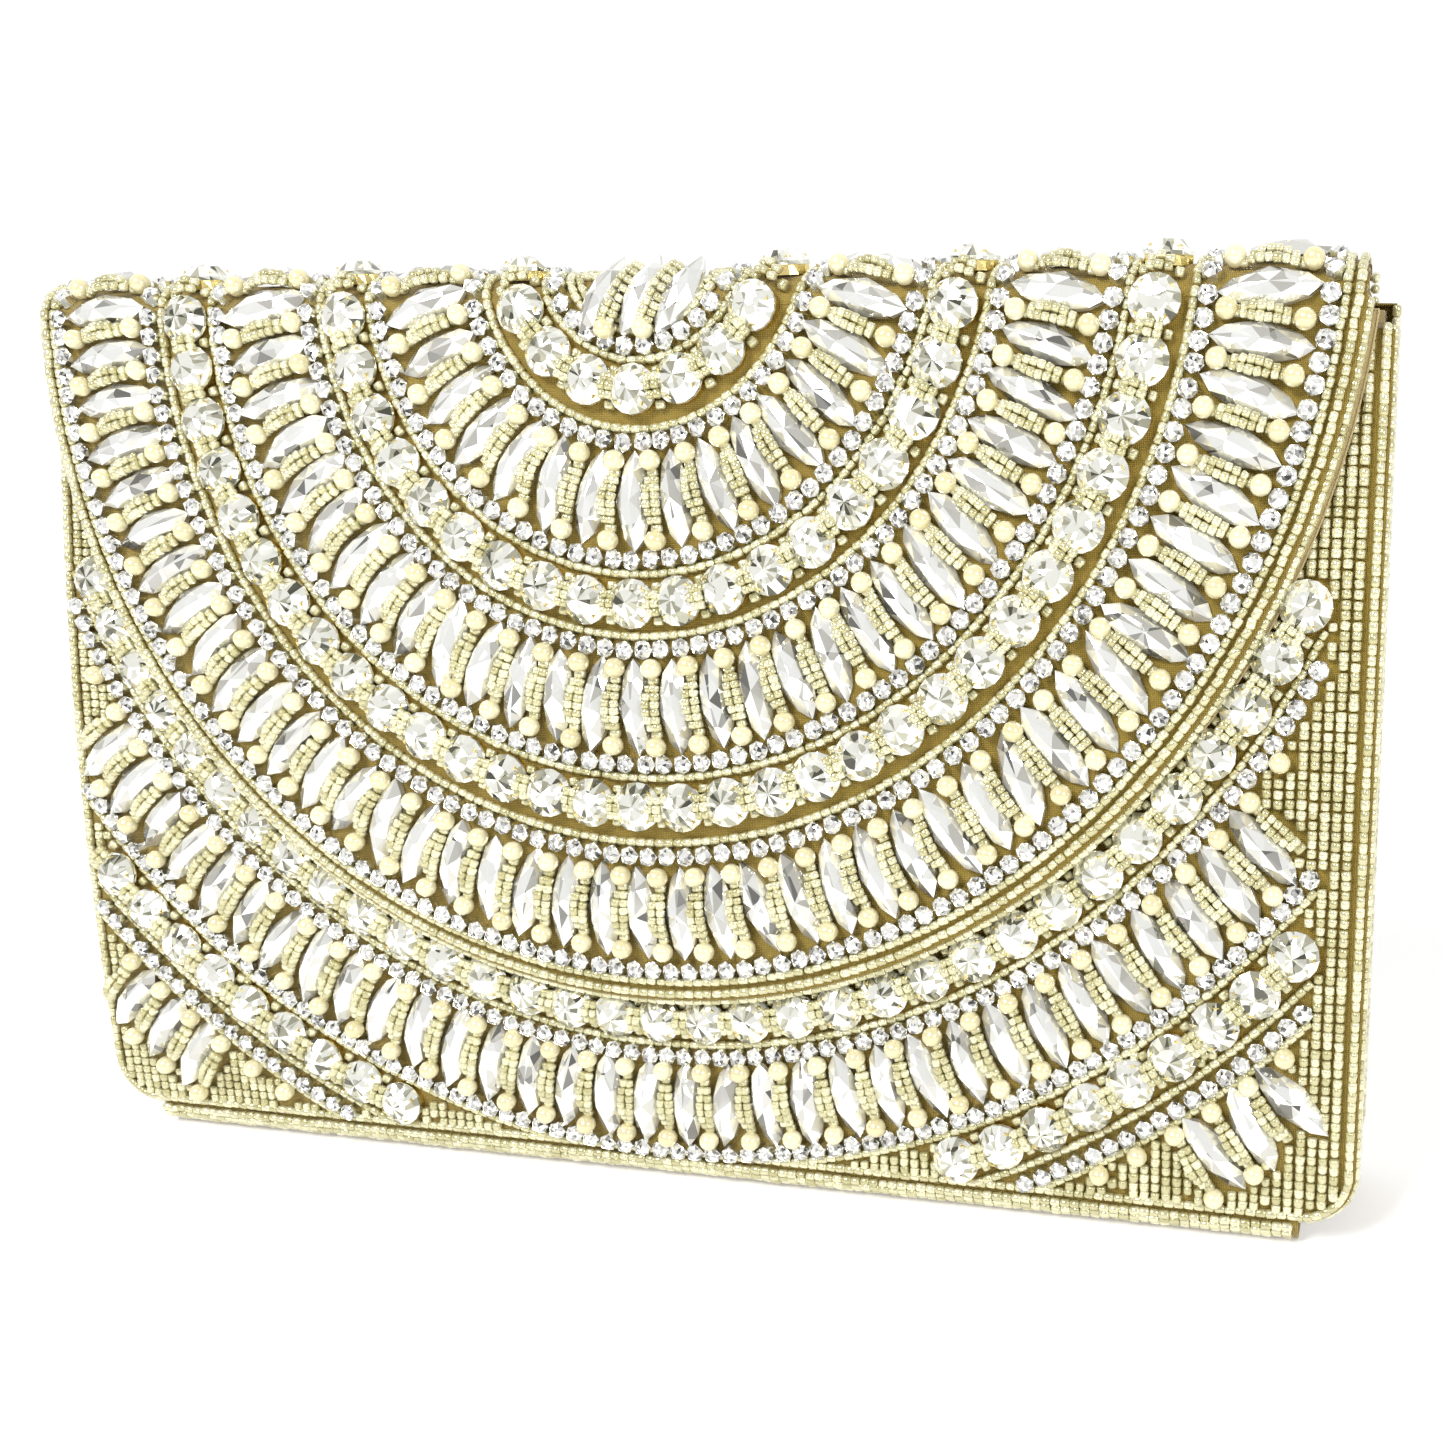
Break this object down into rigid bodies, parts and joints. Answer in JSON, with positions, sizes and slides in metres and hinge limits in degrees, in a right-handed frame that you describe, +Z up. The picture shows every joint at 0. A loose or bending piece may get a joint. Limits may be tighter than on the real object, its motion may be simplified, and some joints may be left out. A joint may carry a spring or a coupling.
{
  "type": "clutch purse",
  "caption": "Beaded envelope clutch purse that stands on its base, with a half-round flap set with rings of crystals, pearls and seed beads, a magnetic snap and a soft lined inside.",
  "frame": {"origin": "on the flat underside of the base, half way along it", "axes": "+X along the width, to the right seen from the front; the front faces -Y; +Z up"},
  "size_m": [0.272, 0.0398, 0.1827],
  "materials": {
    "fabric": "woven gold thread",
    "board": "matte",
    "satin": "satin",
    "seed_beads": "silver-lined pale gold",
    "pearl": "pearl",
    "crystal": "foil-backed cut crystal",
    "round_crystal": "foil-backed cut crystal",
    "gold_setting": "bright plated",
    "cup_chain": "bright",
    "snap_metal": "polished plated",
    "steel": "plain"
  },
  "bodies": {
    "back_shell": {"back_cover": "fabric", "back_board": "board", "back_lining": "satin", "back_beading": "seed_beads", "base_cover": "fabric", "base_board": "board", "base_lining": "satin", "slip_pocket": "satin", "left_gusset": "satin", "right_gusset": "satin", "fold_cover": "fabric", "fold_lining": "satin", "fold_navettes": "crystal", "fold_round_stones": "round_crystal", "fold_claw_cups": "gold_setting", "centre_navettes": "crystal"},
    "front_panel": {"corner_navettes": "crystal", "front_bead_strands": "seed_beads", "front_board": "board", "front_claw_cups": "gold_setting", "front_cover": "fabric", "front_cup_chains": "cup_chain", "front_edge_columns": "seed_beads", "front_lining": "satin", "front_navettes": "crystal", "front_pearls": "pearl", "front_round_stones": "round_crystal", "front_seed_line": "seed_beads", "front_snap_socket": "snap_metal", "front_snap_washer": "steel"},
    "flap": {"flap_board": "board", "flap_cover": "fabric", "flap_cup_chains": "cup_chain", "flap_lining": "satin", "flap_seed_lines": "seed_beads", "flap_snap_stud": "snap_metal", "flap_snap_washer": "steel", "inner_bead_strands": "seed_beads", "inner_claw_cups": "gold_setting", "inner_navettes": "crystal", "inner_pearls": "pearl", "inner_round_stones": "round_crystal", "middle_bead_strands": "seed_beads", "middle_claw_cups": "gold_setting", "middle_navettes": "crystal", "middle_pearls": "pearl", "middle_round_stones": "round_crystal", "outer_bead_strands": "seed_beads", "outer_claw_cups": "gold_setting", "outer_navettes": "crystal", "outer_pearls": "pearl", "outer_round_stones": "round_crystal"}
  },
  "joints": [
    {"name": "flap_hinge", "type": "hinge", "parent": "back_shell", "child": "flap", "pos_m": [0, 0.013, 0.1775], "axis": [-1, 0, 0], "range_deg": [0, 175], "deforming": ["fold_cover", "fold_lining", "fold_navettes", "fold_round_stones", "fold_claw_cups", "centre_navettes"]},
    {"name": "mouth_hinge", "type": "hinge", "parent": "back_shell", "child": "front_panel", "pos_m": [0, -0.0119, 0.006], "axis": [1, 0, 0], "range_deg": [0, 6], "deforming": ["left_gusset", "right_gusset"]}
  ],
  "couplings": [
    {"joint": "mouth_hinge", "follows": "flap_hinge", "ratio": 0.034}
  ]
}
